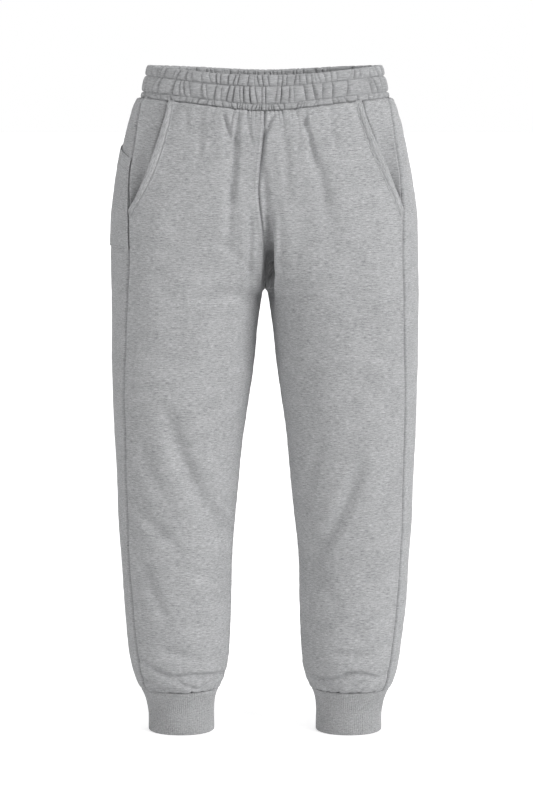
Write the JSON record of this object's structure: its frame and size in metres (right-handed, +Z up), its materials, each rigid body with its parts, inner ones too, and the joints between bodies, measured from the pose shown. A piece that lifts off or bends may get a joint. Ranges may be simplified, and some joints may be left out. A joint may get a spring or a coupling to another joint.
{
  "type": "jogger sweatpants",
  "caption": "Fleece jogger sweatpants, filled out as if worn: gathered elastic waistband in stitched tiers, slanted side pockets, a patch pocket behind, tapered legs and ribbed cuffs.",
  "frame": {"origin": "middle of the waist opening, at half the height of the elastic at the sides", "axes": "+Z up towards the waist, -Y towards the front of the garment, +X towards the wearer's left"},
  "size_m": [0.4482, 0.262, 0.98],
  "materials": {
    "fleece": "heather-grey marl sweatshirt fleece, matt, with a soft nap",
    "rib": "heather-grey marl rib knit, matt"
  },
  "bodies": {
    "root": {"waistband": "fleece", "front_left": "fleece", "front_right": "fleece", "back_left": "fleece", "back_right": "fleece", "pocket_facing_left": "fleece", "pocket_facing_right": "fleece", "pocket_band_left": "fleece", "pocket_band_right": "fleece", "back_pocket": "fleece", "cuff_left": "rib", "cuff_right": "rib"}
  },
  "joints": []
}
